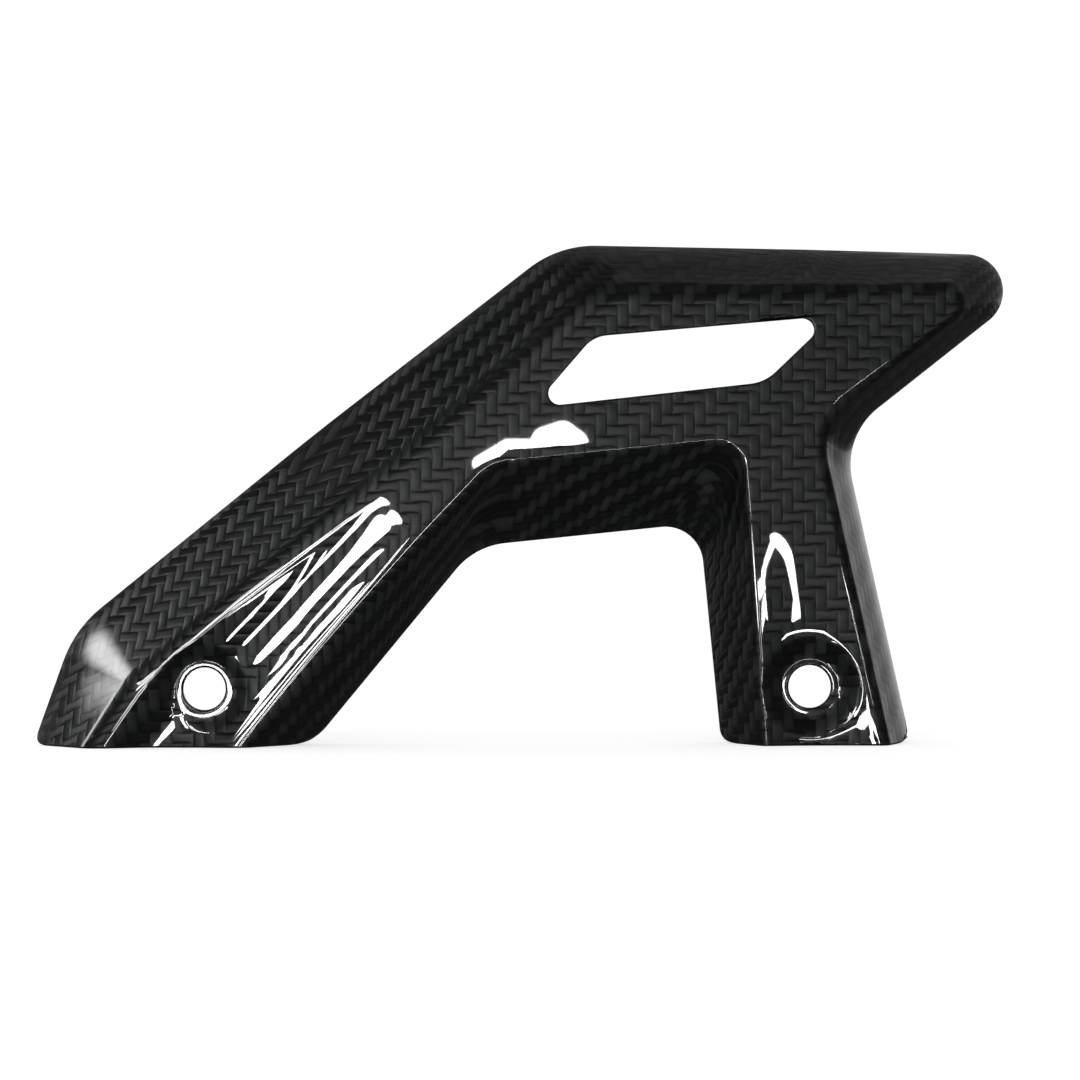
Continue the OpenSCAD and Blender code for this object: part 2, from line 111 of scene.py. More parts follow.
# %% The two runs
SHIN, BROW, TOP, CHIN, BACK = 70.2, 38.2, -1.6, 38.1, 102.25
CALF, BRIDGE, INSIDE = 50.3, 5.7, 95.5
toe = Vector((-33.3, FOOT_Y))
knee = at_height(toe, SHIN, FOOT_Y + 21.6)
crest = Vector((PITCH, FOOT_Y + 91.8))
peak = meet(knee, BROW, crest, TOP)
outer_foot = Vector((PITCH + 19.7, FOOT_Y))
armpit = at_height(outer_foot, BACK, FOOT_Y + 57)
nose = meet(armpit, CHIN, crest, TOP)
brow = bowed(knee, peak, 0.5, 0.7)
top = bowed(peak, nose, 0.48, 0.25)
heel = Vector((19.2, FOOT_Y))
inner_foot = Vector((PITCH - 15.8, FOOT_Y))
arch = at_height(inner_foot, INSIDE, FOOT_Y + 40.7)
elbow = meet(arch, BRIDGE, heel, CALF)

STRAIGHT = 700
OUTER_RUN = [
    (toe, 0, 0, 11.1, 11.1),
    (knee, 23, 9, 14.8, 14.8),
    (brow, STRAIGHT, STRAIGHT, 14.06, 14.06),
    (peak, 20, 17, 11.1, 9.04),
    (top, STRAIGHT, STRAIGHT, 8.6, 8.6),
    (nose, 7, 3.5, 6.4, 4.4),
    (armpit, 13.5, 11, 5.21, 5.3),
    (outer_foot, 0, 0, 5.3, 5.3),
]
ARCH_RUN = [
    (heel, 0, 0, 9.0, 9.0),
    (elbow, 13.7, 9, 6.4, 14.5),
    (arch, 7, 5, 14.5, 8.9),
    (inner_foot, 0, 0, 6.9, 6.9),
]
print("nose tip", nose, "arch corner", arch)

# %% [markdown]
# ## Stations
# Cross sections are placed at stations along each run, closer together round the corners. FINE says how
# much closer they are here than in the frame's solid. A patch of the face always starts and ends at a
# station, so the same counts are used for the runs and for the patches. Each edge of a run also has the
# radius of its fold, and its ease: how much further the fold reaches on to the face than down the flange.

# %% Stations along a run
FINE = 3
TRIM = 5
OUTER_EDGES = [4, 8, 5, 5, 6, 4, 12]
OUTER_ROUNDS = [0, 5, 4, 8, 4, 12, 8, 0]
OUTER_FOLDS = [5, 5, 5, 5, 3.2, 2.4, 2.4]
ARCH_EDGES = [10, 9, 12]
ARCH_ROUNDS = [0, 8, 8, 0]
ARCH_FOLDS = [4.5, 2.4, 2.4]
OUTER_EASES = [1.6, 1.6, 1.6, 1, 1, 1, 1]
ARCH_EASES = [1.5, 1, 1]


def run_on(corners):
    """The two ends run on past the foot line, where they are trimmed later."""
    first, second = corners[:2]
    last, before = corners[-1], corners[-2]
    start = first + (first - second) * (TRIM / (second[1] - first[1]))
    end = last + (last - before) * (TRIM / (before[1] - last[1]))
    return [start, *corners[1:-1], end]


def fold_corner(run, i, side):
    """A fold line's corner lies inside the free edge's corner by the two flange widths."""
    p, before_w, after_w = run[i][0], run[i][3], run[i][4]
    before = (p - run[i - 1][0]).normalized() if i else (run[1][0] - p).normalized()
    after = (run[i + 1][0] - p).normalized() if i < len(run) - 1 else before
    n1, n2 = left_of(before) * side, left_of(after) * side
    if i == 0:
        return p + Vector((after_w / n2[0], 0))
    if i == len(run) - 1:
        return p + Vector((before_w / n1[0], 0))
    w = Vector((before_w * n2[1] - after_w * n1[1], after_w * n1[0] - before_w * n2[0]))
    return p + w / cross2(n1, n2)


def corner_arc(before, c, after, r, count):
    """The arc of radius r that rounds the corner c and touches both of its edges."""
    d1, d2 = (c - before).normalized(), (after - c).normalized()
    turn = math.atan2(cross2(d1, d2), d1.dot(d2))
    start = c - d1 * r * math.tan(abs(turn) / 2)
    centre = start + left_of(d1) * r * math.copysign(1, turn)
    arm, angles = start - centre, [turn * k / count for k in range(count + 1)]
    return [centre + arm * math.cos(a) + left_of(arm) * math.sin(a) for a in angles]


def stations(corners, radii, rounds, edges):
    """Points all along a run whose corners are rounded by arcs."""
    arcs = [[corners[0]]]
    for i in range(1, len(corners) - 1):
        arcs.append(corner_arc(*corners[i - 1 : i + 2], radii[i], rounds[i] * FINE))
    arcs.append([corners[-1]])
    line = []
    for i, arc in enumerate(arcs):
        line += arc
        if i < len(arcs) - 1:
            count = edges[i] * FINE
            line += [arc[-1].lerp(arcs[i + 1][0], k / count) for k in range(1, count)]
    return line


def fold_radii(folds, rounds, edges):
    """The fold's radius at each of the same stations."""
    radii = []
    for i, count in enumerate(rounds):
        if 0 < i < len(rounds) - 1:
            steps = count * FINE
            change = folds[i] - folds[i - 1]
            radii += [folds[i - 1] + change * k / steps for k in range(steps + 1)]
        else:
            radii.append(folds[min(i, len(folds) - 1)])
        if i < len(edges):
            radii += [folds[i]] * (edges[i] * FINE - 1)
    return radii


# %% [markdown]
# ## The height of the face
# The outer face is level over the bridge and the nose. Each leg is scooped out towards its foot, most of
# all along its middle, and a dish sinks round each bolt hole to a flat seat. The scoop is shallow, about
# two millimetres, but it bends every reflection in the clear coat into long hairpins. One function gives
# the height anywhere, so every patch of the shell agrees with its neighbours.

# %% Face height
LEG_AXIS = heading(44)
LONG_SCOOP, LONG_SCOOP_FROM = math.tan(math.radians(2.3)), 50
SHORT_SCOOP, SHORT_SCOOP_FROM = math.tan(math.radians(1.6)), 33
SCOOP_EASE = 5
SHIN_FADE = 10
SEAT_R = 5
DISHES = [(Vector((0, 0)), 8.2), (Vector((PITCH, 0)), 9.4)]


def fold_between(run, i, k, side):
    """A fold line from corner i to corner k, as its start and its heading."""
    start, end = fold_corner(run, i, side), fold_corner(run, k, side)
    return start, (end - start).normalized()


SHIN_FOLD, BROW_FOLD = fold_between(OUTER_RUN, 0, 1, -1), fold_between(OUTER_RUN, 1, 3, -1)
LEG_FOLD = fold_between(ARCH_RUN, 0, 1, 1)
SHORT_OUT_FOLD, SHORT_IN_FOLD = fold_between(OUTER_RUN, 6, 7, -1), fold_between(ARCH_RUN, 2, 3, 1)


def beside(p, line):
    """How far p lies to the left of a line."""
    start, along = line
    return along[0] * (p[1] - start[1]) - along[1] * (p[0] - start[0])


def trough(p, out_fold, in_fold):
    """From 0 at either fold to 1 midway between them."""
    a, b = -beside(p, out_fold), beside(p, in_fold)
    return 4 * a * b / max(1, a + b) ** 2


def fall(along, start, slope):
    """How far a scoop has sunk, with a soft start and then an even slope."""
    d = max(0, start + SCOOP_EASE - along)
    return slope * (d * d / (4 * SCOOP_EASE) if d < 2 * SCOOP_EASE else d - SCOOP_EASE)


def open_height(p):
    """The height of the face before the dishes are pressed in."""
    if p[0] < PITCH / 2:
        along = p[0] * LEG_AXIS[0] + p[1] * LEG_AXIS[1]
        scoop = fall(along, LONG_SCOOP_FROM, LONG_SCOOP) * trough(p, BROW_FOLD, LEG_FOLD)
        scoop *= smooth(-beside(p, SHIN_FOLD) / SHIN_FADE)
    else:
        scoop = fall(p[1], SHORT_SCOOP_FROM, SHORT_SCOOP) * trough(p, SHORT_OUT_FOLD, SHORT_IN_FOLD)
    return DEPTH - scoop


def dished(p, height):
    """Pressed down by the dishes, where it stands above their seats."""
    for hole, dish_r in DISHES:
        away = math.hypot(p[0] - hole[0], p[1] - hole[1])
        share = smooth((away - SEAT_R) / (dish_r - SEAT_R))
        height = min(height, SEAT_HEIGHT + (height - SEAT_HEIGHT) * share)
    return height


def face_height(p):
    return dished(p, open_height(p))


def face_point(p):
    return Vector((p[0], p[1], face_height(p)))


def normal_of(height, p):
    """The direction that the surface of a height faces at p."""
    step = 0.02
    dx = height((p[0] + step, p[1])) - height((p[0] - step, p[1]))
    dy = height((p[0], p[1] + step)) - height((p[0], p[1] - step))
    return Vector((-dx, -dy, 2 * step)).normalized()


def face_normal(p):
    return normal_of(face_height, p)


print("face at the bridge", face_height((80, 45)), "seat", face_height((0, 0)))

# %% [markdown]
# ## One cross section
# A section starts at the free edge, climbs the flange with a slight outward bow, and turns over the fold
# on to the face. The fold is a smooth curve with two handles that leaves along the flange and arrives
# along the face. On the long leg it is eased, so it reaches about half as far again on to the face as down
# the flange. The cloth is one piece, so each point also keeps its place on the flat cloth: the flange is
# unrolled about the fold, which lets the weave run over the fold at its true size. The bow is fullest a
# third of the way up the flange, where t * (1 - t)**2 reaches its peak of 4/27.

# %% Sections
FLANGE_ROWS = 7
FOLD_ROWS = 10
LAST_ROW = FLANGE_ROWS + FOLD_ROWS
FLANGE_BOW = 0.5
BOW_PEAK = 4 / 27
HANDLE = 0.64


def section(edge, fold, r, ease, inward):
    """The points of one section, from the free edge up the flange and over the fold."""
    crease = Vector((fold[0], fold[1], open_height(fold)))
    low = Vector((edge[0], edge[1], 0))
    up = (crease - low).normalized()
    reach = r * math.tan(math.atan2(crease[2], (fold - edge).length) / 2)
    over = reach * ease
    end = fold + inward * over
    n = normal_of(open_height, end)
    back = Vector((-inward[0], -inward[1], (n[0] * inward[0] + n[1] * inward[1]) / n[2]))
    start, stop = crease - up * reach, Vector((end[0], end[1], open_height(end)))
    handle_one, handle_two = start + up * reach * HANDLE, stop + back * over * HANDLE
    level = Vector((up[0], up[1], 0)).normalized()
    out = Vector((-up[2] * level[0], -up[2] * level[1], math.hypot(up[0], up[1])))
    points = []
    for k in range(FLANGE_ROWS + 1):
        t = k / FLANGE_ROWS
        points.append(low.lerp(start, t) + out * (FLANGE_BOW / BOW_PEAK * t * (1 - t) ** 2))
    for k in range(1, FOLD_ROWS + 1):
        t = k / FOLD_ROWS
        u = 1 - t
        points.append(start * u**3 + handle_one * 3 * t * u**2 + handle_two * 3 * t**2 * u + stop * t**3)
    return [Vector((p[0], p[1], dished(p, p[2]))) for p in points]


def cloth_of(points, inward):
    """Where each point of a section lies on the flat cloth."""
    at, places = Vector(points[-1][:2]), []
    for k in range(len(points) - 1, -1, -1):
        if k < len(points) - 1:
            at = at - inward * (points[k + 1] - points[k]).length
        places.insert(0, at.copy())
    return places


def skin(run, rounds, edges, folds, eases, side):
    """All the sections of a run, and the place of each point on the cloth."""
    edge = stations(run_on([c[0] for c in run]), [c[1] for c in run], rounds, edges)
    fold_line = run_on([fold_corner(run, i, side) for i in range(len(run))])
    fold = stations(fold_line, [c[2] for c in run], rounds, edges)
    radii, reaches = fold_radii(folds, rounds, edges), fold_radii(eases, rounds, edges)
    rows, cloth = [], []
    for i, (e, f, r, ease) in enumerate(zip(edge, fold, radii, reaches)):
        ahead, behind = fold[min(len(fold) - 1, i + 1)], fold[max(0, i - 1)]
        inward = left_of((ahead - behind).normalized()) * side
        rows.append(section(e, f, r, ease, inward))
        cloth.append(cloth_of(rows[-1], inward))
    return rows, cloth


outer_skin, outer_cloth = skin(OUTER_RUN, OUTER_ROUNDS, OUTER_EDGES, OUTER_FOLDS, OUTER_EASES, -1)
arch_skin, arch_cloth = skin(ARCH_RUN, ARCH_ROUNDS, ARCH_EDGES, ARCH_FOLDS, ARCH_EASES, 1)
print("stations", len(outer_skin), len(arch_skin), "rows", LAST_ROW + 1)

# %% [markdown]
# ## The inner side of the wall
# The laminate has the same thickness all over, so the inner side is every outer point moved in along its
# normal. The row on the free edge stays in the plane of the trim, as it does under a trimming saw.

# %% Inner points


def skin_normal(rows, i, j, side):
    """The direction that the skin faces at one of its points."""
    if j == LAST_ROW:
        return face_normal(rows[i][j])
    along = rows[min(len(rows) - 1, i + 1)][j] - rows[max(0, i - 1)][j]
    up = rows[i][min(LAST_ROW, j + 1)] - rows[i][max(0, j - 1)]
    return along.cross(up).normalized() * side


def inner_skin(rows, side):
    inner = []
    for i, row in enumerate(rows):
        climb = (row[1] - row[0]).normalized()
        line = [p - skin_normal(rows, i, j, side) * WALL for j, p in enumerate(row)]
        line[0] = line[0] - climb * (line[0][2] / climb[2])
        inner.append(line)
    return inner


outer_inner = inner_skin(outer_skin, -1)
arch_inner = inner_skin(arch_skin, 1)
print("wall", WALL, "mm")

# %% [markdown]
# ## The trimmed feet
# On the real guard a saw cuts both feet off on one level line, and their four corners are rounded. Here
# the first stations of each row are gathered up so that the row starts exactly on that line. Then the
# points near each corner slide in over the skin, most of all at the corner itself, until the trimmed edge
# turns on an arc. Nothing is cut, so the edge stays clean and can be sanded round later.

# %% End the rows on the foot line
EASE = 8


def sunk(p):
    """The inner side of the face below the flat point p."""
    q = face_point(p) - face_normal(p) * WALL
    if abs(p[1] - FOOT_Y) < 1e-6:
        q[1] = FOOT_Y
    return q


def end_on_foot_line(rows, cloth):
    for j in range(len(rows[0])):
        line = [row[j].copy() for row in rows[: EASE + 1]]
        weave = [row[j].copy() for row in cloth[: EASE + 1]]
        start = next(i for i in range(EASE) if line[i + 1][1] > FOOT_Y)
        start += (FOOT_Y - line[start][1]) / (line[start + 1][1] - line[start][1])
        for i in range(EASE):
            at = start + (EASE - start) * i / EASE
            k = min(int(at), EASE - 1)
            rows[i][j] = line[k].lerp(line[k + 1], at - k)
            cloth[i][j] = weave[k].lerp(weave[k + 1], at - k)


def trimmed(rows, cloth):
    """Both ends of a run are gathered up, and their trimmed points set exactly on the foot line."""
    rows, cloth = [list(row) for row in rows], [list(row) for row in cloth]
    for _ in range(2):
        end_on_foot_line(rows, cloth)
        rows.reverse()
        cloth.reverse()
    for row in (rows[0], rows[-1]):
        for p in row:
            p[1] = FOOT_Y
    return rows, cloth


def rounded(rows, corner, a, b, r):
    """Slides points over the skin so that the foot's corner, between headings a and b, turns on an arc."""
    reach = r / math.tan(math.radians(abs(b - a) / 2))
    one, two = heading(a) * reach, heading(b) * reach
    area, moved = cross2(one, two), [list(row) for row in rows]
    for i, row in enumerate(rows[:EASE]):
        for j, p in enumerate(row[:FLANGE_ROWS]):
            away = p.xy - corner
            share_one, share_two = max(0, cross2(away, two) / area), max(0, cross2(one, away) / area)
            if max(share_one, share_two) < 1:
                push = (one + two) * ((1 - share_one) * (1 - share_two)) ** 2 / 4
                along, up = rows[i + 1][j] - p, row[j + 1] - p
                turned = cross2(along, up)
                moved[i][j] = p + along * (cross2(push, up) / turned) + up * (cross2(along, push) / turned)
    return moved


def rounded_ends(rows, first, last):
    rows = rounded(rows, *first)
    return rounded(rows[::-1], *last)[::-1]


outer_inner, outer_inner_cloth = trimmed(outer_inner, outer_cloth)
arch_inner, arch_inner_cloth = trimmed(arch_inner, arch_cloth)
outer_skin, outer_cloth = trimmed(outer_skin, outer_cloth)
arch_skin, arch_cloth = trimmed(arch_skin, arch_cloth)
for rows, inner in ((outer_skin, outer_inner), (arch_skin, arch_inner)):
    for row, inner_row in zip(rows, inner):
        row[-1], inner_row[-1] = face_point(row[-1][:2]), sunk(row[-1][:2])
OUTER_CORNERS = (toe, 0, SHIN, 2.1), (outer_foot, BACK, 180, 2.8)
ARCH_CORNERS = (heel, CALF, 180, 8.5), (inner_foot, 0, INSIDE, 2.8)
outer_skin, outer_inner = (rounded_ends(rows, *OUTER_CORNERS) for rows in (outer_skin, outer_inner))
arch_skin, arch_inner = (rounded_ends(rows, *ARCH_CORNERS) for rows in (arch_skin, arch_inner))
print("feet trimmed at", FOOT_Y, "mm")

# %% [markdown]
# ## The window
# The window is a slanted opening with two sharp tips and two rounder corners. Its outline is made from
# its sill and its two slanted sides, each an angle and a length, like the guard's own outline.

# %% Window outline
SILL, NEAR_SIDE, FAR_SIDE = (6.1, 42.8), (49, 17.2), (43.6, 17.5)
low = Vector((60.3, FOOT_Y + 62))
far_low = low + heading(SILL[0]) * SILL[1]
near_high = low + heading(NEAR_SIDE[0]) * NEAR_SIDE[1]
far_high = far_low + heading(FAR_SIDE[0]) * FAR_SIDE[1]
TIP_R = 2.1
ARC_POINTS = 24
WINDOW = [(low, TIP_R), (far_low, 8), (far_high, TIP_R), (near_high, 6)]
window_line = []
for i, (corner, r) in enumerate(WINDOW):
    before, after = WINDOW[i - 1][0], WINDOW[(i + 1) % len(WINDOW)][0]
    window_line += corner_arc(before, corner, after, r, ARC_POINTS)
window_line.append(window_line[0])
reached = [0]
for a, b in zip(window_line, window_line[1:]):
    reached.append(reached[-1] + (b - a).length)


def window_point(s):
    """The point at the distance s along the window's outline, which is a closed line."""
    s %= reached[-1]
    k = next(i for i in range(len(reached) - 1) if s <= reached[i + 1])
    share = (s - reached[k]) / (reached[k + 1] - reached[k])
    return window_line[k].lerp(window_line[k + 1], share)


def nearest_on_window(p):
    """How far along the window's outline the point nearest to p lies."""
    best = None
    for k, (a, b) in enumerate(zip(window_line, window_line[1:])):
        t = max(0, min(1, (p - a).dot(b - a) / (b - a).length_squared))
        gap = (a.lerp(b, t) - p).length
        if best is None or gap < best[0]:
            best = gap, reached[k] + t * (b - a).length
    return best[1]


print("window outline", round(reached[-1], 1), "mm")

# %% [markdown]
# ## Patches of the face
# The face between the folds is covered by patches. The long leg and the short leg are laid in straight
# lines from fold to fold. Round the window, lines run square to the window's edge, and round each bolt
# hole they run in rings, so that the dish comes out round and every opening has a clean rim.

# %% Patch points
ACROSS = 14 * FINE
KNEE_AT, HEEL_AT = 14 * FINE, 4 * FINE
LEG_STEPS, SHORT_STEPS = 11 * FINE, 8 * FINE
BRIDGE_AT, ARMPIT_AT = 31 * FINE, 69 * FINE
outer_line = [Vector(row[-1][:2]) for row in outer_skin]
arch_line = [Vector(row[-1][:2]) for row in arch_skin]


def straight(p, q):
    """Points on a straight line across the face."""
    return [p.lerp(q, k / ACROSS) for k in range(ACROSS + 1)]


def span(line, a, b):
    """The points of a line from station a to station b, either way."""
    return [line[i] for i in (range(a, b + 1) if a < b else range(a, b - 1, -1))]


leg_patch = [
    straight(outer_line[KNEE_AT + k], arch_line[HEEL_AT + k]) for k in range(LEG_STEPS + 1)
]
short_patch = [
    straight(arch_line[BRIDGE_AT + k], outer_line[ARMPIT_AT + k]) for k in range(SHORT_STEPS + 1)
]

window_border = (
    span(outer_line, KNEE_AT + LEG_STEPS, ARMPIT_AT)
    + straight(outer_line[ARMPIT_AT], arch_line[BRIDGE_AT])[1:]
    + span(arch_line, BRIDGE_AT, HEEL_AT + LEG_STEPS)[1:]
    + straight(arch_line[HEEL_AT + LEG_STEPS], outer_line[KNEE_AT + LEG_STEPS])[1:]
)
WINDOW_ROWS = [0, 0.2, 0.4, 0.6, 0.8, 1]
RIM_BAND = 1.2
SPREADING = 600


def spaced_on_window(border):
    """For each point of the border, a place on the window's outline, evenly spread."""
    places, length = [nearest_on_window(border[0])], reached[-1]
    for p in border[1:]:
        turn = (nearest_on_window(p) - places[-1] + length / 2) % length - length / 2
        places.append(places[-1] + turn)
    whole = math.copysign(length, places[-1] - places[0])
    for _ in range(SPREADING):
        ahead = places[1:-1] + [places[0] + whole]
        behind = [places[-2] - whole] + places[:-2]
        places = [(a + b + 2 * c) / 4 for a, b, c in zip(ahead, behind, places)]
        places.append(places[0] + whole)
    return places


def window_row(p, place):
    """Points from the border of the patch to the window's edge."""
    q = window_point(place)
    band = q + (p - q).normalized() * RIM_BAND
    return [p.lerp(band, t) for t in WINDOW_ROWS] + [q]


window_patch = [window_row(*pair) for pair in zip(window_border, spaced_on_window(window_border))]

SEAT_RINGS = [HOLE_R, 4.4, SEAT_R]
DISH_RINGS = [k / 12 for k in range(1, 13)]
OUTSIDE_RINGS = [0.25, 0.5, 0.75, 1]
BRIM_SHARE = 0.85


def foot_patch(border, hole, dish_r):
    """Rings round a bolt hole, out to the border of the foot."""
    rows = []
    for p in border:
        away, reach = (p - hole).normalized(), (p - hole).length
        brim = min(dish_r, SEAT_R + (reach - SEAT_R) * BRIM_SHARE)
        radii = SEAT_RINGS + [SEAT_R + (brim - SEAT_R) * t for t in DISH_RINGS]
        radii += [brim + (reach - brim) * t for t in OUTSIDE_RINGS]
        rows.append([hole + away * r for r in radii[:-1]] + [p])
    return rows


long_border = (
    span(outer_line, 0, KNEE_AT)
    + straight(outer_line[KNEE_AT], arch_line[HEEL_AT])[1:]
    + span(arch_line, HEEL_AT, 0)[1:]
    + straight(arch_line[0], outer_line[0])[1:]
)
short_border = (
    span(arch_line, len(arch_line) - 1, BRIDGE_AT + SHORT_STEPS)
    + straight(arch_line[BRIDGE_AT + SHORT_STEPS], outer_line[ARMPIT_AT + SHORT_STEPS])[1:]
    + span(outer_line, ARMPIT_AT + SHORT_STEPS, len(outer_line) - 1)[1:]
    + straight(outer_line[-1], arch_line[-1])[1:]
)
foot_patches = [
    foot_patch(border, *dish) for border, dish in zip((long_border, short_border), DISHES)
]
face_patches = [leg_patch, short_patch, window_patch, *foot_patches]
print("face points", sum(len(p) * len(p[0]) for p in face_patches))

# %% [markdown]
# ## Laying up the shell
# Each patch starts as a flat grid from the grid operator, and its corners are then carried to their
# places, as a ply is laid into a mould. The cloth layer keeps where each point lies on the flat cloth.
# Strips close the free edge, the window, the bolt holes and the sawn feet. The plies are then merged.

# %% Lay the plies
bm = bmesh.new()
cloth_layer = bm.verts.layers.float_vector.new("cloth")


def lay(points, cloth):
    """One ply: a grid whose points are carried to points, and to cloth on the flat cloth."""
    along, over = len(points) - 1, len(points[0]) - 1
    grid = bmesh.ops.create_grid(bm, x_segments=over, y_segments=along, size=1)
    for v in grid["verts"]:
        i, j = round((v.co.y + 1) / 2 * along), round((v.co.x + 1) / 2 * over)
        v.co = points[i][j]
        v[cloth_layer] = (*cloth[i][j], 0)


lay(outer_skin, outer_cloth)
lay(arch_skin, arch_cloth)
lay(outer_inner, outer_inner_cloth)
lay(arch_inner, arch_inner_cloth)
for patch in face_patches:
    lay([[face_point(p) for p in row] for row in patch], patch)
    lay([[sunk(p) for p in row] for row in patch], patch)


def lay_rim(outer, inner, cloth):
    """A narrow ply that joins the two sides of the wall at an edge."""
    lay([list(pair) for pair in zip(outer, inner)], [[c, c] for c in cloth])


for rows, inner, cloth in (
    (outer_skin, outer_inner, outer_cloth),
    (arch_skin, arch_inner, arch_cloth),
):
    lay_rim([row[0] for row in rows], [row[0] for row in inner], [row[0] for row in cloth])
    lay_rim(rows[0], inner[0], cloth[0])
    lay_rim(rows[-1], inner[-1], cloth[-1])
for line in (straight(arch_line[0], outer_line[0]), straight(outer_line[-1], arch_line[-1])):
    lay_rim([face_point(p) for p in line], [sunk(p) for p in line], line)
for patch, j in ((window_patch, -1), (foot_patches[0], 0), (foot_patches[1], 0)):
    edge = [row[j] for row in patch]
    lay_rim([face_point(p) for p in edge], [sunk(p) for p in edge], edge)

SAME_POINT = 0.002
bmesh.ops.remove_doubles(bm, verts=bm.verts, dist=SAME_POINT)
bmesh.ops.recalc_face_normals(bm, faces=bm.faces)
open_edges = sum(not e.is_manifold for e in bm.edges)
print("shell", len(bm.faces), "faces", "open edges", open_edges, "volume", bm.calc_volume())

# %% [markdown]
# ## Out of the mould
# The pattern is turned up into the frame's place: its height towards the viewer becomes -Y, the seats'
# backs lie at zero, and millimetres become metres. The place on the cloth becomes a UV map with one
# repeat of the weave, four tows, to each unit, so that the weave can follow the folds.

# %% Turn the shell into the frame's place
REPEAT = 8.0
shell_mesh = bpy.data.meshes.new("carbon_shell")
uv = bm.loops.layers.uv.new("cloth")
for face in bm.faces:
    face.smooth = True
    for loop in face.loops:
        loop[uv].uv = loop.vert[cloth_layer].xy / REPEAT
for v in bm.verts:
    v.co = Vector((v.co.x, SEAT_HEIGHT - WALL - v.co.z, v.co.y)) * MM
bm.verts.layers.float_vector.remove(cloth_layer)
bm.to_mesh(shell_mesh)
bm.free()
shell = bpy.data.objects.new("carbon_shell", shell_mesh)
bpy.context.collection.objects.link(shell)

# %% [markdown]
# ## Sanded edges
# Cured laminate is sharp where it is sawn, so its edges are sanded round before the clear coat goes on.
# A narrow bevel does this on every edge where the shell turns sharply.

# %% Round the sawn edges
SHARP, SANDED = 38, 0.4
edges = shell.modifiers.new("sanded_edges", "BEVEL")
edges.limit_method = "ANGLE"
edges.angle_limit = math.radians(SHARP)
edges.width = SANDED * MM
edges.segments = 3
edges.use_clamp_overlap = False
edges.harden_normals = True
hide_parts("guard_shell")
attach(shell, "root")
print("edges sanded round by", SANDED, "mm")

# %% [markdown]
# ## Clear-coated twill
# The cloth is a 2/2 twill: each tow runs over two and under two, one step further along on each row,
# which draws the diagonals. A tow is a flat ribbon of fine filaments, so it shines across its length, and
# tows that run up the guard catch the light differently from those that run along it. Over it lies a
# clear coat as smooth as glass. The maths below works on the cloth's UV map, in tows.

# %% Weave material
carbon = bpy.data.materials.new("clear_coated_twill")
carbon.use_nodes = True
nodes, links = carbon.node_tree.nodes, carbon.node_tree.links
coat = nodes["Principled BSDF"]


def calc(operation, *values):
    """A Math node. A number is typed into its socket, and anything else is linked to it."""
    node = nodes.new("ShaderNodeMath")
    node.operation = operation
    for socket, value in zip(node.inputs, values):
        if isinstance(value, (int, float)):
            socket.default_value = value
        else:
            links.new(value, socket)
    return node.outputs[0]


def mix(share, a, b):
    """Where the share is 0 this is a, and where it is 1 it is b."""
    node = nodes.new("ShaderNodeMix")
    for socket, value in zip((node.inputs[0], node.inputs[2], node.inputs[3]), (share, a, b)):
        if isinstance(value, (int, float)):
            socket.default_value = value
        else:
            links.new(value, socket)
    return node.outputs[0]


cloth = nodes.new("ShaderNodeUVMap")
cloth.uv_map = "cloth"
place = nodes.new("ShaderNodeSeparateXYZ")
links.new(cloth.outputs[0], place.inputs[0])
TOWS = 4
across_tows = calc("MULTIPLY", place.outputs[0], TOWS)
up_tows = calc("MULTIPLY", place.outputs[1], TOWS)
column, row = calc("FLOOR", across_tows), calc("FLOOR", up_tows)
step = calc("FLOORED_MODULO", calc("SUBTRACT", column, row), TOWS)
upright = calc("LESS_THAN", step, 1.5)


def tow(over, along, cell_over, offset):
    """The height of one tow: its crown across the ribbon, times its rise along a float of two cells."""
    side = calc("SUBTRACT", calc("MULTIPLY", calc("FRACT", over), 2), 1)
    crown = calc("SUBTRACT", 1, calc("POWER", calc("ABSOLUTE", side), 3))
    start = calc("SUBTRACT", along, calc("ADD", cell_over, offset))
    share = calc("DIVIDE", calc("FLOORED_MODULO", start, TOWS), 2)
    dive = calc("SINE", calc("MULTIPLY", share, math.pi))
    lift = calc("POWER", calc("MAXIMUM", dive, 0), 0.5)
    return calc("MULTIPLY", crown, lift)


height = mix(upright, tow(up_tows, across_tows, row, 2), tow(across_tows, up_tows, column, -1))
FILAMENTS, FILAMENT_LENGTH = 14, 0.35


def noise(x, y, x_scale, y_scale, detail=3):
    """Soft noise over the cloth, with so many blotches to a tow each way."""
    join = nodes.new("ShaderNodeCombineXYZ")
    links.new(calc("MULTIPLY", x, x_scale), join.inputs[0])
    links.new(calc("MULTIPLY", y, y_scale), join.inputs[1])
    texture = nodes.new("ShaderNodeTexNoise")
    texture.inputs["Scale"].default_value = 1
    texture.inputs["Detail"].default_value = detail
    links.new(join.outputs[0], texture.inputs["Vector"])
    return texture.outputs[0]


streak_up = noise(across_tows, up_tows, FILAMENTS, FILAMENT_LENGTH)
streak_level = noise(up_tows, across_tows, FILAMENTS, FILAMENT_LENGTH)
streak = mix(upright, streak_level, streak_up)
print("weave nodes", len(nodes))
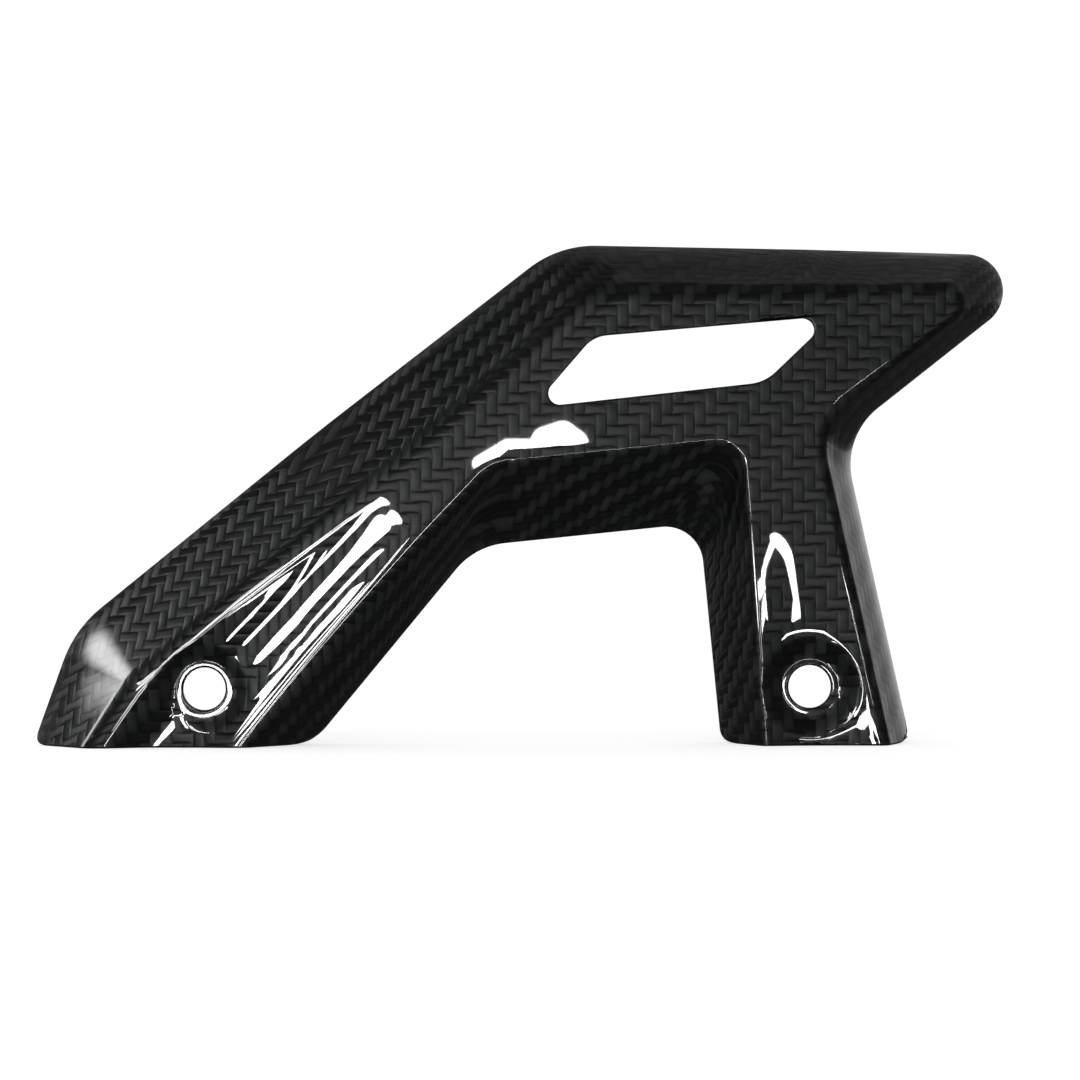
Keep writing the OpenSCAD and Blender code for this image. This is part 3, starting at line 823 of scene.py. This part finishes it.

# %% [markdown]
# The tows that run up the guard are painted three times lighter than those that run along it, a painted
# sheen. Each tow is painted darkest at its edges and where it dives under its neighbour, a painted shade,
# and the filaments streak it. Some cells are darker than others, and wide patches are redder.
# The same height drives a fine bump below the clear coat, and the grain of the anisotropic highlight turns
# by a quarter turn from one direction of tow to the other. Each pair of numbers below is a base and what
# is added to it where the weave's value is 1.

# %% Weave colour, bump and sheen
# The upright tows' value is three times the level tows': the fibre's dark colour plus a painted sheen.
LEVEL_TONE, UPRIGHT_TONE_AND_SHEEN = 0.010, 0.030
CELL_PATCHES, RED_PATCHES = 0.37, 0.11
# SHADE is a painted shade, darkest at each tow's edges and where it dives under its neighbour.
UNEVEN, SHADE, GRAIN, REDNESS = (0.1, 1.8), (0.35, 0.65), (0.55, 0.9), (0.55, 0.75)
FIBRE_ROUGHNESS = (0.3, 0.16)
STREAK_RELIEF = 0.15
BLUENESS = 1.03


def graded(value, base, added):
    """The base where the value is 0, and so much added where it is 1."""
    return calc("ADD", base, calc("MULTIPLY", value, added))


cells = noise(column, row, CELL_PATCHES, CELL_PATCHES, detail=2)
# Painted sheen: upright tows are lighter than level ones. The cells vary at random.
tone_and_sheen = calc("MULTIPLY", mix(upright, LEVEL_TONE, UPRIGHT_TONE_AND_SHEEN), graded(cells, *UNEVEN))
# Painted shade from the tow height, then the filament streaks.
grey = calc("MULTIPLY", calc("MULTIPLY", tone_and_sheen, graded(height, *SHADE)), graded(streak, *GRAIN))
warmth = noise(across_tows, up_tows, RED_PATCHES, RED_PATCHES)
tint = nodes.new("ShaderNodeCombineColor")
links.new(calc("MULTIPLY", grey, graded(warmth, *REDNESS)), tint.inputs[0])
links.new(grey, tint.inputs[1])
links.new(calc("MULTIPLY", grey, BLUENESS), tint.inputs[2])
links.new(tint.outputs[0], coat.inputs["Base Color"])
bump = nodes.new("ShaderNodeBump")
bump.inputs["Strength"].default_value = 0.6
bump.inputs["Distance"].default_value = 0.00012
links.new(calc("ADD", height, calc("MULTIPLY", streak, STREAK_RELIEF)), bump.inputs["Height"])
links.new(bump.outputs[0], coat.inputs["Normal"])
links.new(graded(streak, *FIBRE_ROUGHNESS), coat.inputs["Roughness"])
coat.inputs["Metallic"].default_value = 0.35
coat.inputs["Anisotropic"].default_value = 0.7
tangent = nodes.new("ShaderNodeTangent")
tangent.direction_type = "UV_MAP"
tangent.uv_map = "cloth"
links.new(tangent.outputs[0], coat.inputs["Tangent"])
QUARTER_TURN = 0.25
links.new(calc("MULTIPLY", upright, QUARTER_TURN), coat.inputs["Anisotropic Rotation"])
coat.inputs["Coat Weight"].default_value = 1.0
coat.inputs["Coat Roughness"].default_value = 0.015
coat.inputs["Coat IOR"].default_value = 1.5
shell_mesh.materials.append(carbon)
print("material nodes", len(nodes))

# %% [markdown]
# ## The floor and the wall
# The guard stands on its feet on a white sweep: a sheet of paper that lies under it and curves up into a
# wall behind it, so that no line shows between the two. The profile is a few vertices, and one extrusion
# makes the sheet. The camera sees the paper as white. In a mirror only the middle of the wall is white, and
# it fades out forwards, sideways and upwards, each between two places in metres: the real guard was lit in
# a dark room, and only its edges, which look backwards, mirror something white. The floor itself isn't
# there in the mirror in front of the place where it starts, because some strip lights hang lower than it.

# %% Floor and wall
PROFILE = [(-3, 0), (0.9, 0), (1.02, 0.016), (1.1, 0.06), (1.16, 0.14), (1.18, 0.26), (1.18, 2.6)]
SWEEP_WIDTH, SWEEP_MIDDLE = 6, 0.06
bm = bmesh.new()
profile = [bm.verts.new((-SWEEP_WIDTH / 2, y, z)) for y, z in PROFILE]
lines = [bm.edges.new(pair) for pair in zip(profile, profile[1:])]
bmesh.ops.extrude_edge_only(bm, edges=lines)
bmesh.ops.translate(bm, verts=list(bm.verts)[len(profile) :], vec=(SWEEP_WIDTH, 0, 0))
bmesh.ops.translate(bm, verts=bm.verts, vec=(SWEEP_MIDDLE, 0, FOOT_Y * MM))
for face in bm.faces:
    face.smooth = True
wall_mesh = bpy.data.meshes.new("white_sweep")
bm.to_mesh(wall_mesh)
bm.free()
sweep = bpy.data.objects.new("white_sweep", wall_mesh)
bpy.context.collection.objects.link(sweep)
PAPER, DIM_PAPER, PAPER_GLOW = 0.9, 0.2, 0.62
MIRRORED_BACK, MIRRORED_SIDE, MIRRORED_TOP = (0.5, 1.15), (1.6, 0.6), (1.1, 0.3)
FLOOR_STARTS = (0.3, 0.5)
paper = bpy.data.materials.new("white_paper")
paper.use_nodes = True
nodes, links = paper.node_tree.nodes, paper.node_tree.links
sheet = nodes["Principled BSDF"]
sheet.inputs["Roughness"].default_value = 0.9
sheet.inputs["Emission Color"].default_value = (1, 1, 1, 1)
path = nodes.new("ShaderNodeLightPath")
spot = nodes.new("ShaderNodeTexCoord")
split = nodes.new("ShaderNodeSeparateXYZ")
links.new(spot.outputs["Object"], split.inputs[0])


def rising(value, none, full):
    """From 0 where a value is at none to 1 where it is at full, with a soft start and end."""
    node = nodes.new("ShaderNodeMapRange")
    node.interpolation_type = "SMOOTHSTEP"
    links.new(value, node.inputs["Value"])
    node.inputs["From Min"].default_value = none
    node.inputs["From Max"].default_value = full
    return node.outputs[0]


lit = nodes.new("ShaderNodeCombineColor")
for socket in lit.inputs:
    links.new(mix(path.outputs["Is Glossy Ray"], PAPER, DIM_PAPER), socket)
links.new(lit.outputs[0], sheet.inputs["Base Color"])
mirrored = calc("MULTIPLY", rising(split.outputs[1], *MIRRORED_BACK), path.outputs["Is Glossy Ray"])
mirrored = calc("MULTIPLY", mirrored, rising(calc("ABSOLUTE", split.outputs[0]), *MIRRORED_SIDE))
mirrored = calc("MULTIPLY", mirrored, rising(split.outputs[2], *MIRRORED_TOP))
clear_view = calc("MAXIMUM", path.outputs["Is Transmission Ray"], path.outputs["Is Camera Ray"])
glow = calc("MULTIPLY", calc("MAXIMUM", clear_view, mirrored), PAPER_GLOW)
links.new(glow, sheet.inputs["Emission Strength"])
clear = nodes.new("ShaderNodeBsdfTransparent")
swap = nodes.new("ShaderNodeMixShader")
near = calc("SUBTRACT", 1, rising(split.outputs[1], *FLOOR_STARTS))
links.new(calc("MULTIPLY", near, path.outputs["Is Glossy Ray"]), swap.inputs[0])
links.new(sheet.outputs[0], swap.inputs[1])
links.new(clear.outputs[0], swap.inputs[2])
links.new(swap.outputs[0], nodes["Material Output"].inputs["Surface"])
wall_mesh.materials.append(paper)
print("sweep", len(wall_mesh.polygons), "faces")

# %% [markdown]
# ## The room
# The world stands for the room. It is white to the camera, an even soft light on rough surfaces, and
# nearly black in a mirror, apart from what lies behind the guard. That is how a gloss black part is lit:
# it shows its form by the few bright things that it mirrors, and those need darkness around them.

# %% World
world = bpy.data.worlds.new("studio")
bpy.context.scene.world = world
world.use_nodes = True
nodes, links = world.node_tree.nodes, world.node_tree.links
sky = nodes["Background"]
sky.inputs["Color"].default_value = (1, 1, 1, 1)
path = nodes.new("ShaderNodeLightPath")
DARK_ROOM, SOFT_LIGHT = 0.03, 0.5
level = mix(path.outputs["Is Diffuse Ray"], DARK_ROOM, SOFT_LIGHT)
plain = calc("MAXIMUM", path.outputs["Is Camera Ray"], path.outputs["Is Transmission Ray"])
links.new(mix(plain, level, 1.0), sky.inputs["Strength"])
print("room", DARK_ROOM, "in a mirror", SOFT_LIGHT, "on rough surfaces")

# %% [markdown]
# ## The strip lights
# The white hairpins on the long leg are long, bent strip lights beside the camera, mirrored in the scooped
# face and again, much narrower, in each fold. Each strip is a chain of rectangular lamps in the plane of
# the camera, with a round lamp on every bend so that its corners don't break. A strip is given as its
# width and its bends, across and up from the long leg's bolt hole, all in millimetres.

# %% Strip lights
CAMERA_AT = Vector((0.06165, -0.6459, 0.02704))
RADIANCE = 40


def lamp(name, at, size, shape="RECTANGLE"):
    """A lamp of an even radiance over its face. It faces the guard's front, along +Y."""
    data = bpy.data.lights.new(name, "AREA")
    data.shape = shape
    data.size, data.size_y = size
    filled = math.pi / 4 if shape == "ELLIPSE" else 1
    data.energy = RADIANCE * math.pi * size[0] * size[1] * filled
    lamp_object = bpy.data.objects.new(name, data)
    lamp_object.location = at
    lamp_object.rotation_euler = (math.radians(90), 0, 0)
    lamp_object.visible_camera = False
    bpy.context.collection.objects.link(lamp_object)
    return lamp_object


def strip(name, width, bends):
    """A chain of narrow lamps from bend to bend, with a round lamp on each bend and at both ends."""
    for k, (a, b) in enumerate(zip(bends, bends[1:])):
        run = Vector((b[0] - a[0], b[1] - a[1])) * MM
        at = Vector(((a[0] + b[0]) / 2 * MM, CAMERA_AT.y, (a[1] + b[1]) / 2 * MM))
        part = lamp(f"{name}_{k}", at, (run.length, width * MM))
        part.rotation_euler.rotate_axis("Z", math.atan2(run.y, run.x))
    for k, bend in enumerate(bends):
        at = Vector((bend[0] * MM, CAMERA_AT.y, bend[1] * MM))
        lamp(f"{name}_bend_{k}", at, (width * MM, width * MM), shape="ELLIPSE")


STRIPS = [
    (12, [(-252, 119), (-180, 86), (-140, 72), (-108, 56)]),
    (8, [(-202, 80), (-150, 48), (-100, 31), (-60, 20)]),
    (28, [(-125, -4), (-90, -14), (-60, -15), (-35, -8)]),
    (10, [(-35, -6), (-22, 10)]),
    (9, [(-9, 8), (-10, -8), (-6, -35), (-5, -70), (-14, -88)]),
    (20, [(-12, -84), (-28, -104)]),
    (15, [(48, -126), (44, -155), (38, -176)]),
    (14, [(-108, -88), (-72, -118)]),
    (6, [(40, 55), (50, 61), (62, 61)]),
    (11, [(64, 63), (70, 65), (74, 62)]),
    (5, [(262, -7), (235, 3), (200, 4), (172, 1)]),
    (12, [(170, 0), (168, -12), (176, -29)]),
    (8, [(176, -29), (196, -34)]),
    (7, [(5, -68), (-12, -78), (-12, -90), (20, -92), (140, -82), (262, -62)]),
]
for k, (width, bends) in enumerate(STRIPS):
    strip(f"strip_{k}", width, bends)
print("lamps", sum(2 * len(bends) - 1 for width, bends in STRIPS), "in", len(STRIPS), "strips")

# %% [markdown]
# ## The glow at the left
# A large soft lamp at the left lights the knee of the guard, where the flange turns, and gives it the one
# soft patch among the sharp lines. It is a card that glows most in its middle and fades to nothing at its
# rim, so that its mirror image has no edge.

# %% Glow at the left
MIDDLE = Vector((0.06, 0, 0.03))
GLOW_AT, GLOW_R, GLOW_CORE, GLOW = Vector((-1.0, 0.02, 0.6)), 0.3, 0.05, 11.0
bm = bmesh.new()
bmesh.ops.create_grid(bm, x_segments=1, y_segments=1, size=GLOW_R)
card_mesh = bpy.data.meshes.new("glow_card")
bm.to_mesh(card_mesh)
bm.free()
card = bpy.data.objects.new("glow_card", card_mesh)
bpy.context.collection.objects.link(card)
card.location = GLOW_AT
card.rotation_mode = "QUATERNION"
card.rotation_quaternion = (MIDDLE - GLOW_AT).to_track_quat("Z", "Y")
card.visible_camera = False
card.visible_shadow = False
card.visible_diffuse = False
glowing = bpy.data.materials.new("glow")
glowing.use_nodes = True
nodes, links = glowing.node_tree.nodes, glowing.node_tree.links
glow_shader = nodes["Principled BSDF"]
glow_shader.inputs["Base Color"].default_value = (0, 0, 0, 1)
glow_shader.inputs["Specular IOR Level"].default_value = 0.0
glow_shader.inputs["Emission Color"].default_value = (1, 1, 1, 1)
spot = nodes.new("ShaderNodeTexCoord")
away = nodes.new("ShaderNodeVectorMath")
away.operation = "LENGTH"
links.new(spot.outputs["Object"], away.inputs[0])
strength = calc("MULTIPLY", rising(away.outputs["Value"], GLOW_R, GLOW_CORE), GLOW)
links.new(strength, glow_shader.inputs["Emission Strength"])
card_mesh.materials.append(glowing)
print("glow card", round(2 * GLOW_R, 2), "m wide")

# %% [markdown]
# ## The camera
# The photograph was taken square on to the guard from about two thirds of a metre, with a long lens. The
# height and the roll of the camera are the ones that put both bolt holes where the photograph has them.

# %% Camera
ROLL = -0.2155
camera_data = bpy.data.cameras.new("camera")
camera_data.sensor_width = 36
camera_data.lens = 117.2
camera = bpy.data.objects.new("camera", camera_data)
camera.location = CAMERA_AT
camera.rotation_euler = (math.radians(90), 0, 0)
camera.rotation_euler.rotate_axis("Z", math.radians(ROLL))
bpy.context.collection.objects.link(camera)
bpy.context.scene.camera = camera
bpy.context.scene.view_settings.view_transform = "Standard"
print("camera at", tuple(round(c, 4) for c in CAMERA_AT))
